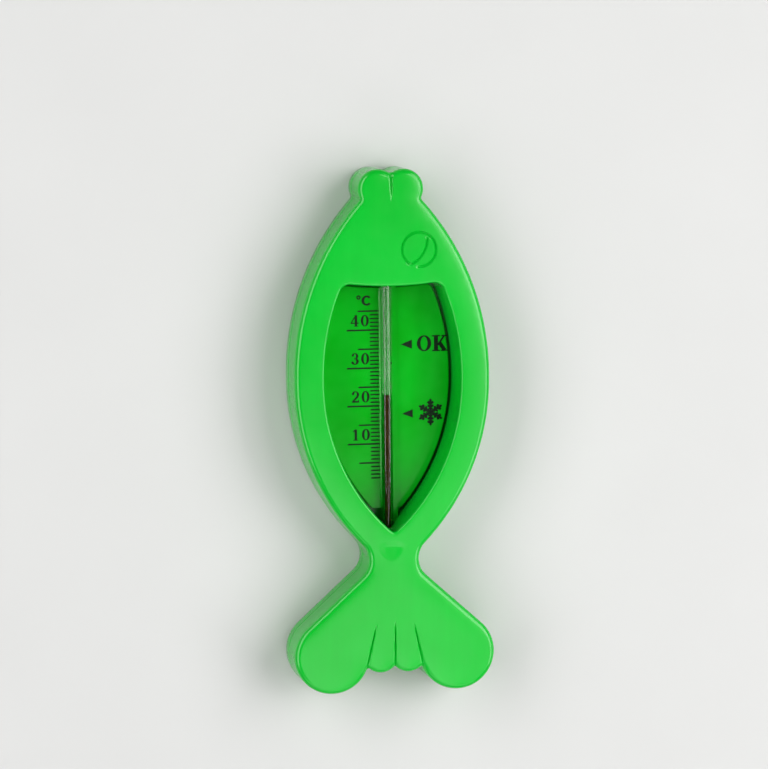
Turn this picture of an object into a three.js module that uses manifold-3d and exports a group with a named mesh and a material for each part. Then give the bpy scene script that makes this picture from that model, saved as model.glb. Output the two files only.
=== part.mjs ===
// A fish-shaped floating bath thermometer: two hollow shells, a scale plate and a liquid-in-glass tube.
// Millimetres. The fish lies on its flat back: +X across it, +Y towards the mouth, +Z out of its face.
import * as THREE from 'three';
import { mergeVertices } from 'three/addons/utils/BufferGeometryUtils.js';
import Module from 'manifold-3d';

const wasm = await Module();
wasm.setup();

// The whole fish.
const LENGTH = 198.5;
const HALF_WIDTH = 37.4;
const DEPTH = 23;
const WALL = 2;
const EDGE_RADIUS = 2.2;
const INNER_RADIUS = 1; // rounding of the hollow's edges
const PARTING = 7.5; // height of the back shell's rim
const GAP = 0.3; // clearance between pieces that meet

// The outline's arcs, for the right-hand half.
const LIP_RADIUS = 7.5;
const LIP = new THREE.Vector2(5, LENGTH / 2 - LIP_RADIUS);
const CHEEK_RADIUS = 99;
const CHEEK = new THREE.Vector2(HALF_WIDTH - CHEEK_RADIUS, 21.2);
const FLANK_RADIUS = 88;
const FLANK = new THREE.Vector2(HALF_WIDTH - FLANK_RADIUS, 19.2);
const NECK_RADIUS = 8.5;
const NECK_HALF_WIDTH = 9.6;
const LOBE_RADIUS = 14.4;
const LOBE = new THREE.Vector2(24.1, LENGTH / -2 + LOBE_RADIUS);
const TOE_RADIUS = 7;
const TOE = new THREE.Vector2(5.35, LOBE.y);

// The window in the front shell, and the scale plate that closes its floor.
const RIM = 10.4; // width of the face between the outline and the window
const WINDOW_TOP = 56; // at the middle of the top edge
const WINDOW_TOP_RADIUS = 130;
const WINDOW_CORNER = 4.5;
const WINDOW_TIP = 2.5; // length of the rounding on each side of the lower tip
const WINDOW_DRAFT = 1.1; // how much smaller the floor is than the mouth, on each side
const PLATE_MARGIN = 1.3; // the dark gap between the plate and the foot of the window wall
const PLATE_THICKNESS = 2.4;
const PLATE_TOP = PARTING;
const PLATE_END = -30.5; // the plate stops here, above the dark hollow at the window's lower tip
const TUBE_GROOVE = { left: -1.5, right: 4.2, depth: 1.8 }; // in the plate, wider than the tube on the right
const RAIL = { x: 13, width: 2, from: -12, to: 46 }; // the two rails that carry the plate

// The glass, its liquid and the scale that it is read against.
const TUBE_RADIUS = 2.1;
const BORE_RADIUS = 0.75;
const TUBE_Z = PLATE_TOP + GAP + TUBE_RADIUS;
const STEM_BOTTOM = -51;
const STEM_TOP = 66;
const TIP_LENGTH = 3;
const BULB_RADIUS = 3.2;
const BULB_LENGTH = 13;
const BULB_SHOULDER = 2.5; // length over which the bulb narrows to the stem
const GLASS = 0.7; // wall of the bulb
const LIQUID_GAP = 0.2;
const LIQUID_TAPER = 1; // length over which the liquid in the bulb narrows to a point
const DEGREE = 1.45; // length of one degree
const ZERO_Y = -20.5; // where 0 degrees would stand
const READING = 23; // degrees
const COLUMN_RADIUS = 0.45;
const MENISCUS_RADIUS = 0.65;
const MENISCUS_LENGTH = 2;

// Rubber bushes round the stem, and the mouldings inside the shells.
const BUSH_RADIUS = 4;
const BUSH_LENGTH = 5;
const UPPER_BUSH_Y = 61.2;
const LOWER_BUSH_Y = -46.5;
const CRADLE = { width: 10, length: 3.5 }; // the block under the upper bush
const WELL = { radius: 6.4, top: -51.5, bottom: -60 }; // the wall round the bulb, a ring drawn out along Y
const WELL_WALL = 1.4;
const PORT = { width: 1.6, length: 9, pitch: 3, count: 3 }; // slots that let water reach the bulb
const PEG_RADIUS = 1.3;
const SOCKET_RADIUS = 2.8;
const PEG_DEPTH = 3;
const PEGS = [[0, 79], [-31.5, 21], [31.5, 21], [-24, -82], [24, -82]];

// Marks cut into the face.
const GROOVE_DEPTH = 0.8;
const MOUTH_GROOVE = { width: 1, from: 87.5 };
const EYE_LINE = { width: 0.6, depth: 0.5 };
const EYE = { x: 10.4, y: 68.8, radius: 6.5, from: -2.05, to: 4 }; // a ring, open at its lower left
const PUPIL = { x: 3.6, y: 72.2, radius: 10.5, from: -1.05, to: 0 };
const TAIL_GROOVES = [
  { from: [-7.3, -73.4], to: [-11.2, -89.5] },
  { from: [0, -72], to: [0, -89] },
  { from: [7.3, -73.4], to: [11.2, -89.5] },
];
const TAIL_GROOVE_WIDTH = 1.1;

// Colours, and roughness from 0 for a mirror to 1 for chalk.
const SHELL_GREEN = 0x24c844;
const PLATE_GREEN = 0x12a824;
const CLEAR_GLASS = 0xdff0e4;
const SPIRIT = 0x5a1408;
const RUBBER = 0x2a2a2a;
const GLOSSY_PLASTIC = 0.3;
const SMOOTH_GLASS = 0.05;
const GLASS_OPACITY = 0.35;
const WET = 0.2;
const MATT_RUBBER = 0.8;

// How finely curves are cut into facets, and how solids are joined.
const TOLERANCE = 0.08; // the furthest that a facet of an outline stands from its arc
const CORNER_STEPS = 5;
const TIP_STEPS = 4;
const EDGE_STEPS = 3;
const ROUND_STEPS = 4; // from the axis to the rim of a round end
const TUBE_SIDES = 20;
const POST_SIDES = 16;
const BORE_SIDES = 12;
const SAME_POINT = 0.01; // points closer than this are one
const MERGE = 1e-4; // vertices closer than this are one
const SINK = 0.1; // how far a moulding runs into the wall that it stands on
const PAST = 1; // how far a cutter runs past what it cuts
const FAR = 300; // further than any side of the fish

/** Points along an arc, both ends included. */
function arc(centre, radius, from, to) {
  const turn = 2 * Math.acos(1 - TOLERANCE / radius);
  const steps = Math.max(2, Math.ceil(Math.abs(to - from) / turn));
  return Array.from({ length: steps + 1 }, (_, i) => {
    const angle = from + ((to - from) * i) / steps;
    return new THREE.Vector2(centre.x + radius * Math.cos(angle), centre.y + radius * Math.sin(angle));
  });
}

/** The angle at which point b is seen from point a. */
function bearing(a, b) {
  return Math.atan2(b.y - a.y, b.x - a.x);
}

/** Where two circles cross, on the right of the line from a to b, or on its left. */
function crossing(a, radiusA, b, radiusB, side) {
  const apart = a.distanceTo(b);
  const along = (apart ** 2 + radiusA ** 2 - radiusB ** 2) / (2 * apart);
  const angle = bearing(a, b) + side * Math.acos(along / radiusA);
  return new THREE.Vector2(a.x + radiusA * Math.cos(angle), a.y + radiusA * Math.sin(angle));
}

/** Drops each point that repeats the one before it. */
function distinct(points) {
  return points.filter((p, i, all) => p.distanceTo(all.at(i - 1)) > SAME_POINT);
}

/** A half outline from top to bottom, with its mirror image, as one closed shape. */
function mirrored(half) {
  const left = half.map((p) => new THREE.Vector2(-p.x, p.y)).reverse();
  return new THREE.Shape(distinct([...half, ...left]).reverse());
}

/** The fish seen from the front. */
function fishShape() {
  const notch = crossing(CHEEK, CHEEK_RADIUS, LIP, LIP_RADIUS, -1);
  const neck = new THREE.Vector2(NECK_HALF_WIDTH + NECK_RADIUS, 0);
  neck.y = FLANK.y - Math.sqrt((FLANK_RADIUS + NECK_RADIUS) ** 2 - (neck.x - FLANK.x) ** 2);
  const lean = Math.asin((NECK_RADIUS + LOBE_RADIUS) / neck.distanceTo(LOBE));
  const tailEdge = bearing(neck, LOBE) + lean + Math.PI / 2;
  const valley = crossing(LOBE, LOBE_RADIUS, TOE, TOE_RADIUS, 1);
  const half = [
    ...arc(LIP, LIP_RADIUS, Math.acos(-LIP.x / LIP_RADIUS), bearing(LIP, notch)),
    ...arc(CHEEK, CHEEK_RADIUS, bearing(CHEEK, notch), 0),
    ...arc(FLANK, FLANK_RADIUS, 0, bearing(FLANK, neck)),
    ...arc(neck, NECK_RADIUS, bearing(neck, FLANK), tailEdge + Math.PI),
    ...arc(LOBE, LOBE_RADIUS, tailEdge, bearing(LOBE, valley)),
    ...arc(TOE, TOE_RADIUS, bearing(TOE, valley), -Math.acos(-TOE.x / TOE_RADIUS)),
  ];
  return mirrored(half);
}

/** The window seen from the front, smaller all round by inset. */
function windowShape(inset) {
  const cheekRadius = CHEEK_RADIUS - RIM - inset;
  const flankRadius = FLANK_RADIUS - RIM - inset;
  const top = new THREE.Vector2(0, WINDOW_TOP - inset + WINDOW_TOP_RADIUS);
  const corner = crossing(top, WINDOW_TOP_RADIUS, CHEEK, cheekRadius, 1);
  const turnTop = WINDOW_CORNER / WINDOW_TOP_RADIUS;
  const turnSide = WINDOW_CORNER / cheekRadius;
  const topArc = arc(top, WINDOW_TOP_RADIUS, -Math.PI / 2, bearing(top, corner) - turnTop);
  const cheekArc = arc(CHEEK, cheekRadius, bearing(CHEEK, corner) - turnSide, 0);
  const tip = -Math.acos(-FLANK.x / flankRadius);
  const flankArc = arc(FLANK, flankRadius, 0, tip + WINDOW_TIP / flankRadius);
  const rounding = new THREE.QuadraticBezierCurve(topArc.at(-1), corner, cheekArc[0]);
  const sharpTip = new THREE.Vector2(0, FLANK.y + flankRadius * Math.sin(tip));
  const end = flankArc.at(-1);
  const tipCurve = new THREE.QuadraticBezierCurve(end, sharpTip, new THREE.Vector2(-end.x, end.y));
  const halfTip = tipCurve.getPoints(2 * TIP_STEPS).slice(0, TIP_STEPS + 1);
  return mirrored([...topArc, ...rounding.getPoints(CORNER_STEPS), ...cheekArc, ...flankArc, ...halfTip]);
}

/** A closed geometry as a solid that can be joined and cut. */
function solid(geometry) {
  const bare = geometry.index ? geometry.toNonIndexed() : geometry.clone();
  bare.deleteAttribute('normal');
  bare.deleteAttribute('uv');
  const merged = mergeVertices(bare, MERGE);
  const index = Array.from(merged.index.array);
  const triangles = [];
  for (let i = 0; i < index.length; i += 3) {
    const [a, b, c] = index.slice(i, i + 3);
    if (a !== b && b !== c && c !== a) triangles.push(a, b, c);
  }
  const vertProperties = new Float32Array(merged.attributes.position.array);
  const triVerts = new Uint32Array(triangles);
  return new wasm.Manifold(new wasm.Mesh({ numProp: 3, vertProperties, triVerts }));
}

/** A solid back as a geometry for a mesh. */
function geometryOf(piece) {
  const mesh = piece.getMesh();
  const geometry = new THREE.BufferGeometry();
  geometry.setAttribute('position', new THREE.BufferAttribute(new Float32Array(mesh.vertProperties), 3));
  geometry.setIndex(Array.from(mesh.triVerts));
  geometry.computeVertexNormals();
  return geometry;
}

/** A shape between two heights, with upright sides. */
function slab(shape, bottom, top) {
  const geometry = new THREE.ExtrudeGeometry(shape, { depth: top - bottom, bevelEnabled: false });
  return solid(geometry.translate(0, 0, bottom));
}

/** A shape between two heights, smaller by inset, with its edges rounded. */
function roundedSlab(shape, bottom, top, radius, inset) {
  const geometry = new THREE.ExtrudeGeometry(shape, {
    depth: top - bottom - 2 * radius,
    bevelThickness: radius,
    bevelSize: radius,
    bevelOffset: -radius - inset,
    bevelSegments: EDGE_STEPS,
  });
  return solid(geometry.translate(0, 0, bottom + radius));
}

/** A block given by its centre on the face and its heights. */
function block(x, y, width, length, bottom, top) {
  const geometry = new THREE.BoxGeometry(width, length, top - bottom);
  return solid(geometry.translate(x, y, (bottom + top) / 2));
}

/** An upright round post. */
function post(x, y, radius, bottom, top) {
  const geometry = new THREE.CylinderGeometry(radius, radius, top - bottom, POST_SIDES);
  return solid(geometry.rotateX(Math.PI / 2).translate(x, y, (bottom + top) / 2));
}

/** A channel along Y, round over the tube's axis and open downwards. */
function tubeChannel(radius, from, to, bottom) {
  const round = new THREE.CylinderGeometry(radius, radius, to - from, TUBE_SIDES);
  const middle = (from + to) / 2;
  const open = block(0, middle, 2 * radius, to - from, bottom, TUBE_Z);
  return solid(round.translate(0, middle, TUBE_Z)).add(open);
}

/** The room for the lower bush, which both shells leave. */
function bushRoom(bottom) {
  const half = BUSH_LENGTH / 2 + GAP;
  return tubeChannel(BUSH_RADIUS + GAP, LOWER_BUSH_Y - half, LOWER_BUSH_Y + half, bottom);
}

/** An upright ring drawn out along Y, round at both ends. */
function wellShape(radius) {
  const shape = new THREE.Shape();
  shape.absarc(0, WELL.top, radius, 0, Math.PI, false);
  shape.absarc(0, WELL.bottom, radius, Math.PI, 2 * Math.PI, false);
  return new THREE.Shape(distinct(shape.getPoints(CORNER_STEPS)));
}

/** The wall round the bulb. */
function well(bottom, top) {
  return slab(wellShape(WELL.radius), bottom, top)
    .subtract(slab(wellShape(WELL.radius - WELL_WALL), bottom - PAST, top + PAST));
}

/** A straight groove in the face between two points. */
function straightGroove([x1, y1], [x2, y2], width, depth) {
  const length = Math.hypot(x2 - x1, y2 - y1);
  const bar = new THREE.BoxGeometry(width, length, 2 * depth);
  bar.rotateZ(Math.atan2(x1 - x2, y2 - y1));
  return solid(bar.translate((x1 + x2) / 2, (y1 + y2) / 2, DEPTH));
}

/** A curved groove in the face: part of a ring. */
function curvedGroove({ x, y, radius, from, to }) {
  const centre = new THREE.Vector2(x, y);
  const outside = arc(centre, radius + EYE_LINE.width / 2, from, to);
  const inside = arc(centre, radius - EYE_LINE.width / 2, to, from);
  return slab(new THREE.Shape([...outside, ...inside]), DEPTH - EYE_LINE.depth, DEPTH + EYE_LINE.depth);
}

/** Every mark that is cut into the face. */
function faceMarks() {
  const mouthTop = [0, LENGTH / 2 + PAST];
  const mouth = straightGroove([0, MOUTH_GROOVE.from], mouthTop, MOUTH_GROOVE.width, GROOVE_DEPTH);
  const tail = TAIL_GROOVES.map(({ from, to }) => straightGroove(from, to, TAIL_GROOVE_WIDTH, GROOVE_DEPTH));
  return [...tail, curvedGroove(EYE), curvedGroove(PUPIL)].reduce((all, groove) => all.add(groove), mouth);
}

const fish = fishShape();
const body = roundedSlab(fish, 0, DEPTH, EDGE_RADIUS, 0);
const hollow = roundedSlab(fish, WALL, DEPTH - WALL, INNER_RADIUS, WALL);

/** The deep front shell: face, outer wall, and the skirt round the window. */
function frontShell() {
  const bottom = PARTING + GAP;
  const face = body.intersect(block(0, 0, FAR, FAR, bottom, FAR));
  const skirt = slab(windowShape(-WALL), 0, DEPTH);
  const mouth = new THREE.ExtrudeGeometry(windowShape(0), {
    depth: PAST,
    bevelThickness: DEPTH - PLATE_TOP,
    bevelSize: WINDOW_DRAFT,
    bevelOffset: -WINDOW_DRAFT,
    bevelSegments: 1,
  });
  const ceiling = DEPTH - WALL + SINK;
  let shell = face
    .subtract(hollow.subtract(skirt))
    .add(well(bottom, ceiling))
    .subtract(solid(mouth.translate(0, 0, DEPTH)))
    .subtract(tubeChannel(TUBE_RADIUS + GAP, WELL.top, STEM_TOP, 0))
    .subtract(bushRoom(0))
    .subtract(faceMarks());
  for (const [x, y] of PEGS) {
    shell = shell.add(post(x, y, PEG_RADIUS, PARTING - PEG_DEPTH, ceiling));
  }
  return shell;
}

/** The shallow back shell: a tray with a coaming round the plate, rails, the bulb's well, sockets and ports. */
function backShell() {
  const floor = WALL - SINK;
  const coaming = slab(windowShape(-WALL), floor, PARTING)
    .subtract(slab(windowShape(WINDOW_DRAFT), 0, DEPTH));
  const railTop = PLATE_TOP - PLATE_THICKNESS - GAP;
  const railMiddle = (RAIL.from + RAIL.to) / 2;
  const bushBottom = TUBE_Z - BUSH_RADIUS;
  const cradle = block(0, UPPER_BUSH_Y, CRADLE.width, CRADLE.length, floor, bushBottom - GAP);
  let shell = body
    .intersect(block(0, 0, FAR, FAR, -FAR, PARTING))
    .subtract(hollow)
    .add(coaming)
    .add(cradle)
    .add(well(floor, PARTING))
    .subtract(bushRoom(bushBottom - GAP));
  for (const x of [-RAIL.x, RAIL.x]) {
    shell = shell.add(block(x, railMiddle, RAIL.width, RAIL.to - RAIL.from, floor, railTop));
  }
  for (const [x, y] of PEGS) {
    shell = shell
      .add(post(x, y, SOCKET_RADIUS, floor, PARTING))
      .subtract(post(x, y, PEG_RADIUS + GAP, PARTING - PEG_DEPTH - GAP, PARTING + PAST));
  }
  const wellMiddle = (WELL.top + WELL.bottom) / 2;
  for (let i = 0; i < PORT.count; i += 1) {
    const x = (i - (PORT.count - 1) / 2) * PORT.pitch;
    shell = shell.subtract(block(x, wellMiddle, PORT.width, PORT.length, -PAST, WALL + PAST));
  }
  return shell;
}

/** The plate that carries the scale. It stands clear of the window wall and is cut straight at its end. */
function scalePlate() {
  const belowEnd = block(0, PLATE_END - FAR / 2, FAR, FAR, 0, DEPTH);
  const { left, right, depth } = TUBE_GROOVE;
  const groove = block((left + right) / 2, 0, right - left, FAR, PLATE_TOP - depth, PLATE_TOP + PAST);
  return slab(windowShape(WINDOW_DRAFT + PLATE_MARGIN), PLATE_TOP - PLATE_THICKNESS, PLATE_TOP)
    .subtract(belowEnd)
    .subtract(groove);
}

/** A solid of revolution about the tube's axis, from pairs of radius and height. */
function turned(profile, segments) {
  return new THREE.LatheGeometry(profile.map(([r, y]) => new THREE.Vector2(r, y)), segments);
}

/** A straight sleeve with a hole through it. */
function sleeve(radius, hole, length) {
  return turned([[hole, 0], [radius, 0], [radius, length], [hole, length], [hole, 0]], TUBE_SIDES);
}

/** A straight solid rod. */
function rod(radius, length) {
  return turned([[0, 0], [radius, 0], [radius, length], [0, length]], BORE_SIDES);
}

/** A round end as pairs of radius and height, from the axis at height y out to the full radius. */
function roundEnd(radius, y) {
  return Array.from({ length: ROUND_STEPS + 1 }, (_, i) => {
    const angle = (Math.PI / 2) * (i / ROUND_STEPS);
    return [radius * Math.sin(angle), y + radius * (1 - Math.cos(angle))];
  });
}

/** The blown bulb below the stem, open at its neck. */
function bulb() {
  const inside = roundEnd(BULB_RADIUS - GLASS, GLASS).reverse();
  const shoulder = BULB_LENGTH - BULB_SHOULDER;
  return turned([
    ...roundEnd(BULB_RADIUS, 0),
    [BULB_RADIUS, shoulder],
    [TUBE_RADIUS, BULB_LENGTH],
    [BORE_RADIUS, BULB_LENGTH],
    [BULB_RADIUS - GLASS, shoulder - GLASS],
    ...inside,
  ], TUBE_SIDES);
}

/** The liquid in the bulb. */
function reservoir() {
  const inset = GLASS + LIQUID_GAP;
  const radius = BULB_RADIUS - inset;
  const top = BULB_LENGTH - BULB_SHOULDER - inset;
  return turned([...roundEnd(radius, inset), [radius, top - LIQUID_TAPER], [0, top]], TUBE_SIDES);
}

/** The sealed, rounded top of the glass. */
function tip() {
  const rounded = roundEnd(TUBE_RADIUS, 0).map(([r, y]) => [r, TIP_LENGTH - y]).reverse();
  return turned([[0, 0], [TUBE_RADIUS, 0], ...rounded], TUBE_SIDES);
}

/** A named piece in its own colour. */
function piece(name, geometry, colour, roughness, extra = {}) {
  const material = new THREE.MeshStandardMaterial({ color: colour, roughness, metalness: 0, ...extra });
  const mesh = new THREE.Mesh(geometry, material);
  mesh.name = name;
  return mesh;
}

/** A piece of clear glass. */
function glassPiece(name, geometry) {
  return piece(name, geometry, CLEAR_GLASS, SMOOTH_GLASS, { transparent: true, opacity: GLASS_OPACITY });
}

/** A body of the dyed liquid. */
function spiritPiece(name, geometry) {
  return piece(name, geometry, SPIRIT, WET);
}

const thermometer = new THREE.Group();
thermometer.add(piece('front_shell', geometryOf(frontShell()), SHELL_GREEN, GLOSSY_PLASTIC));
thermometer.add(piece('back_shell', geometryOf(backShell()), SHELL_GREEN, GLOSSY_PLASTIC));
thermometer.add(piece('scale_plate', geometryOf(scalePlate()), PLATE_GREEN, GLOSSY_PLASTIC));

// Everything on the tube's axis shares one group.
const tube = new THREE.Group();
tube.position.z = TUBE_Z;
thermometer.add(tube);

/** Adds a piece to the tube with its lower end at height y. */
function onTube(mesh, y) {
  mesh.position.y = y;
  tube.add(mesh);
}

const bulbY = STEM_BOTTOM - GAP - BULB_LENGTH;
const readingY = ZERO_Y + READING * DEGREE;
const meniscusY = readingY - MENISCUS_LENGTH;
const columnLength = meniscusY - GAP - STEM_BOTTOM;
onTube(glassPiece('glass_stem', sleeve(TUBE_RADIUS, BORE_RADIUS, STEM_TOP - STEM_BOTTOM)), STEM_BOTTOM);
onTube(glassPiece('glass_tip', tip()), STEM_TOP + GAP);
onTube(glassPiece('glass_bulb', bulb()), bulbY);
onTube(spiritPiece('spirit_reservoir', reservoir()), bulbY);
onTube(spiritPiece('spirit_column', rod(COLUMN_RADIUS, columnLength)), STEM_BOTTOM);
onTube(spiritPiece('spirit_meniscus', rod(MENISCUS_RADIUS, MENISCUS_LENGTH)), meniscusY);
const bushHole = TUBE_RADIUS + GAP;
for (const [name, y] of [['upper_bush', UPPER_BUSH_Y], ['lower_bush', LOWER_BUSH_Y]]) {
  onTube(piece(name, sleeve(BUSH_RADIUS, bushHole, BUSH_LENGTH), RUBBER, MATT_RUBBER), y - BUSH_LENGTH / 2);
}

export default thermometer;
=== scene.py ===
import math

import bmesh
import bpy
import numpy as np
from mathutils import Matrix, Vector
from mathutils.geometry import delaunay_2d_cdt


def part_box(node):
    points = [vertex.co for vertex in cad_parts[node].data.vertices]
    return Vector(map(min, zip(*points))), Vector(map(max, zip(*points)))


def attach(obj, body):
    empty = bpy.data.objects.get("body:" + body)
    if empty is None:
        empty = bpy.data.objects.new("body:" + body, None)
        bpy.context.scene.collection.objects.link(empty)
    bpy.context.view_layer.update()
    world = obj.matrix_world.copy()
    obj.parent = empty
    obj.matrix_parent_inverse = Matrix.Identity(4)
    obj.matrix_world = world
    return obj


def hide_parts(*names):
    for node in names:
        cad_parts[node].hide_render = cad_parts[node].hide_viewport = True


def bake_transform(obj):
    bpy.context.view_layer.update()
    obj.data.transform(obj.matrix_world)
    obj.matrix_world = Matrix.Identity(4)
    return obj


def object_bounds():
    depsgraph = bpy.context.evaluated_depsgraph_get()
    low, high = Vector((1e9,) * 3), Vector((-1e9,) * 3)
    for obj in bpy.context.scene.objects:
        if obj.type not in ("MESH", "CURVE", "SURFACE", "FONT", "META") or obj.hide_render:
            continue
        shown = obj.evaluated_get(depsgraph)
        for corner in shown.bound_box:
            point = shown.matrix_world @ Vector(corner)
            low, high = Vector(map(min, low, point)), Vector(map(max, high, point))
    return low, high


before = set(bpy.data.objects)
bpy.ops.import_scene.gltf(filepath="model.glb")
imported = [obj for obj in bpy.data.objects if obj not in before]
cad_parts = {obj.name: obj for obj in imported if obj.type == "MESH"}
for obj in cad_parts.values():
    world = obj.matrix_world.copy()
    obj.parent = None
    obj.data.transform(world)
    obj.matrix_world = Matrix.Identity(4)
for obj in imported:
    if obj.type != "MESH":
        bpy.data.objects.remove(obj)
CAD_LOW, CAD_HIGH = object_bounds()

MM = 0.001
FISH = "thermometer"
READING = "column_top"


def low(node):
    """The lowest corner of a CAD node, in millimetres."""
    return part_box(node)[0] / MM


def high(node):
    """The highest corner of a CAD node, in millimetres."""
    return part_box(node)[1] / MM


def middle(node):
    """The centre of a CAD node, in millimetres."""
    return (low(node) + high(node)) / 2


# The whole fish.
DEPTH = CAD_HIGH.z / MM
HALF_LENGTH = CAD_HIGH.y / MM
TAIL_HALF_WIDTH = CAD_HIGH.x / MM
CHEEK_HALF_WIDTH = 37.4
WALL = 2
EDGE_RADIUS = 2.2
GAP = 0.3
PARTING = high("back_shell").z
PARTING_CHAMFER = 0.2
STANDOFF = 0.02  # keeps a standing wall just clear of the shell that it stands on

# The outline's arcs, for the right-hand half, and the small fillets in its notches.
LIP_RADIUS = 7.5
LIP = Vector((5, HALF_LENGTH - LIP_RADIUS))
CHEEK_RADIUS = 99
CHEEK = Vector((CHEEK_HALF_WIDTH - CHEEK_RADIUS, 21.2))
FLANK_RADIUS = 88
FLANK = Vector((CHEEK_HALF_WIDTH - FLANK_RADIUS, 19.2))
NECK_RADIUS = 8.5
NECK_HALF_WIDTH = 9.6
LOBE_RADIUS = 14.4
LOBE = Vector((TAIL_HALF_WIDTH - LOBE_RADIUS, LOBE_RADIUS - HALF_LENGTH))
TOE_RADIUS = 7
TOE = Vector((5.35, LOBE.y))
MOUTH_FILLET = 3
NOTCH_FILLET = 1.4
VALLEY_FILLET = 0.7

# The window.
RIM = 10.4
WINDOW_TOP = 56
WINDOW_TOP_RADIUS = 130
WINDOW_CORNER = 5
WINDOW_TIP = 2.6
WINDOW_DRAFT = 1.1
WINDOW_WALL = -0.8
WINDOW_EDGE = 0.9

# The water ports in the back and the wall round the bulb.
PORT_WIDTH = 1.6
PORT_LENGTH = 9
PORT_PITCH = 3
PORTS = 3
WELL_TOP = -51.5
WELL_BOTTOM = -60
WELL_RADIUS = 6.4
WELL_WALL = 1.4

# How finely the curves and the face are divided. EDGE_STEPS is for a rounded edge.
STEP = 0.55
TURN = 0.22
EDGE_STEPS = 9
FACE_PITCH = 1.5
PLAIN_PITCH = 5
GROOVE_PITCH = 0.35
CLEARANCE = 0.7

# Marks in the face. A groove fades in over its first few millimetres.
CROWN = 0.15
ROLL_OFF = {"width": 8.5, "drop": 0.25}
GROOVE_HALF_WIDTH = 0.85
GROOVE_FADE = 7
MOUTH_GROOVE = {"start": (0, 86.5), "end": (0, HALF_LENGTH), "depth": 0.75}
TAIL_GROOVES = [
    {"start": (-6.9, -71.6), "end": (-11.6, -92.5), "depth": 0.85},
    {"start": (0, -70.5), "end": (0, -91.5), "depth": 0.85},
    {"start": (6.9, -71.6), "end": (11.6, -92.5), "depth": 0.85},
]
EYE_HALF_WIDTH = 0.62
EYE_DEPTH = 0.7
EYE_FADE = 1.2
EYE = {"centre": (10.4, 68.8), "radius": 6.5, "start": -1.75, "end": 4.25}
PUPIL = {"centre": (3.0, 73.0), "radius": 10.6, "start": -1.2, "end": 0.08}
NECK_SINK = {"x": -1.1, "top": -41, "bottom": -49, "half_width": 5.9, "slope": 0.042,
             "side_blur": 3, "top_blur": 2.6}

# The scale and its print.
PLATE_TOP = high("scale_plate").z
PLATE_END = low("scale_plate").y
PLATE_MARGIN = 1.3
PLATE_BEVEL = 0.25
TUBE_GROOVE = {"left": -1.5, "right": 4.2, "depth": 1.8}
CUT_PAST = 5  # how far the groove's cutter runs past the plate's ends
CUT_ABOVE = 1
RAIL = {"x": 13, "width": 2, "from": -12, "to": 46}
PRINT_THICKNESS = 0.03
DEGREE = 1.45
ZERO_Y = high("spirit_meniscus").y - 23 * DEGREE
LAST_DEGREE = 45
TICK_RIGHT = -2.35
TICK_LEFT = {"ten": -14.8, "five": -10.45, "one": -5.85}
TICK_THICKNESS = {"ten": 0.62, "five": 0.58, "one": 0.54}
DIGIT_HEIGHT = 4.35
DIGIT_WIDTH = 3.4
DIGIT_X = (-11.65, -7.75)
DIGIT_LIFT = 1.45
FIGURE_WIDTH = 0.7  # of a figure of height 1

# Printed signs: x, y, width and height. The snowflake has a radius.
CELSIUS = {"C": (-6.95, 46.8, 4.6, 3.9), "degree": (-10.1, 50.0, 4.2, 4.2)}
COMFORT = {"arrow": (6.0, 31.7, 4.4, 3.5), "O": (15.1, 28.9, 5.6, 6), "K": (21.15, 28.8, 6.1, 6.1)}
COLD = {"arrow": (6.3, 5.2, 4.2, 3.2), "snowflake": (17.4, 5.5, 4.75)}

# The tube.
TUBE = middle("glass_stem")
TUBE_RADIUS = (high("glass_stem").x - low("glass_stem").x) / 2
BORE_RADIUS = 0.75
COLUMN_BOTTOM = low("spirit_column").y
COLUMN_TOP = high("spirit_column").y
BULB_WALL = 0.7
SHOULDER = 2.5
SHOULDER_STEPS = 8
WETTED = 0.012  # the liquid reaches this far into the glass, so that no air shows between them
DISH = 0.35
GLASS_LIP = 0.25
BUSH_LIP = 0.4
CHANNEL_BELOW = 1  # the tube's channel opens this far below the parting line
PAINT_DAB = {"turn": (38, 62), "y": (24.6, 25.4), "from": 0.005, "to": 0.05}
SIDES = 72

# Light and camera, in metres and watts.
WORLD_STRENGTH = 0.06
FLOOR_HALF = 4
FLOOR_DROP = 0.0002
CAMERA_DISTANCE = 1.5
CAMERA_YAW = math.radians(11)
CAMERA_PITCH = math.radians(6)
CAMERA_ROLL = math.radians(0.55)
CAMERA_TARGET = Vector((-3.57, 18.25, DEPTH)) * MM
SENSOR = 36
LENS = 186.7


# ---------------------------------------------------------------- outlines

def bearing(a, b):
    """The angle at which b is seen from a."""
    return math.atan2(b.y - a.y, b.x - a.x)


def crossing(a, radius_a, b, radius_b, side):
    """Where two circles cross, to the right (-1) or left (1) of the line from a to b."""
    apart = (b - a).length
    along = (apart ** 2 + radius_a ** 2 - radius_b ** 2) / (2 * apart)
    angle = bearing(a, b) + side * math.acos(along / radius_a)
    return a + radius_a * Vector((math.cos(angle), math.sin(angle)))


def arc(centre, radius, start, end, hollow=False):
    """Rows of x, y and the outward normal along an arc. A hollow arc has the plastic outside it."""
    turn = (end - start + math.pi) % (2 * math.pi) - math.pi
    steps = max(2, math.ceil(abs(turn) * radius / STEP), math.ceil(abs(turn) / TURN))
    angles = start + turn * np.arange(steps + 1) / steps
    out = np.stack([np.cos(angles), np.sin(angles)], 1)
    return np.hstack([np.array(centre) + radius * out, -out if hollow else out])


def join(arcs):
    """One run of rows from arcs that follow each other, without the points that they share."""
    rows = np.vstack(arcs)
    keep = [0]
    for i in range(1, len(rows)):
        if np.linalg.norm(rows[i, :2] - rows[keep[-1], :2]) > 0.02:
            keep.append(i)
    return rows[keep]


def mirrored(half):
    """A closed loop from its right-hand half, which starts and ends on the middle line."""
    half = half.copy()
    half[[0, -1], 0] = 0
    half[[0, -1], 2] = 0
    left = half[1:-1][::-1] * (-1, 1, -1, 1)
    return np.vstack([half, left])


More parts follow.
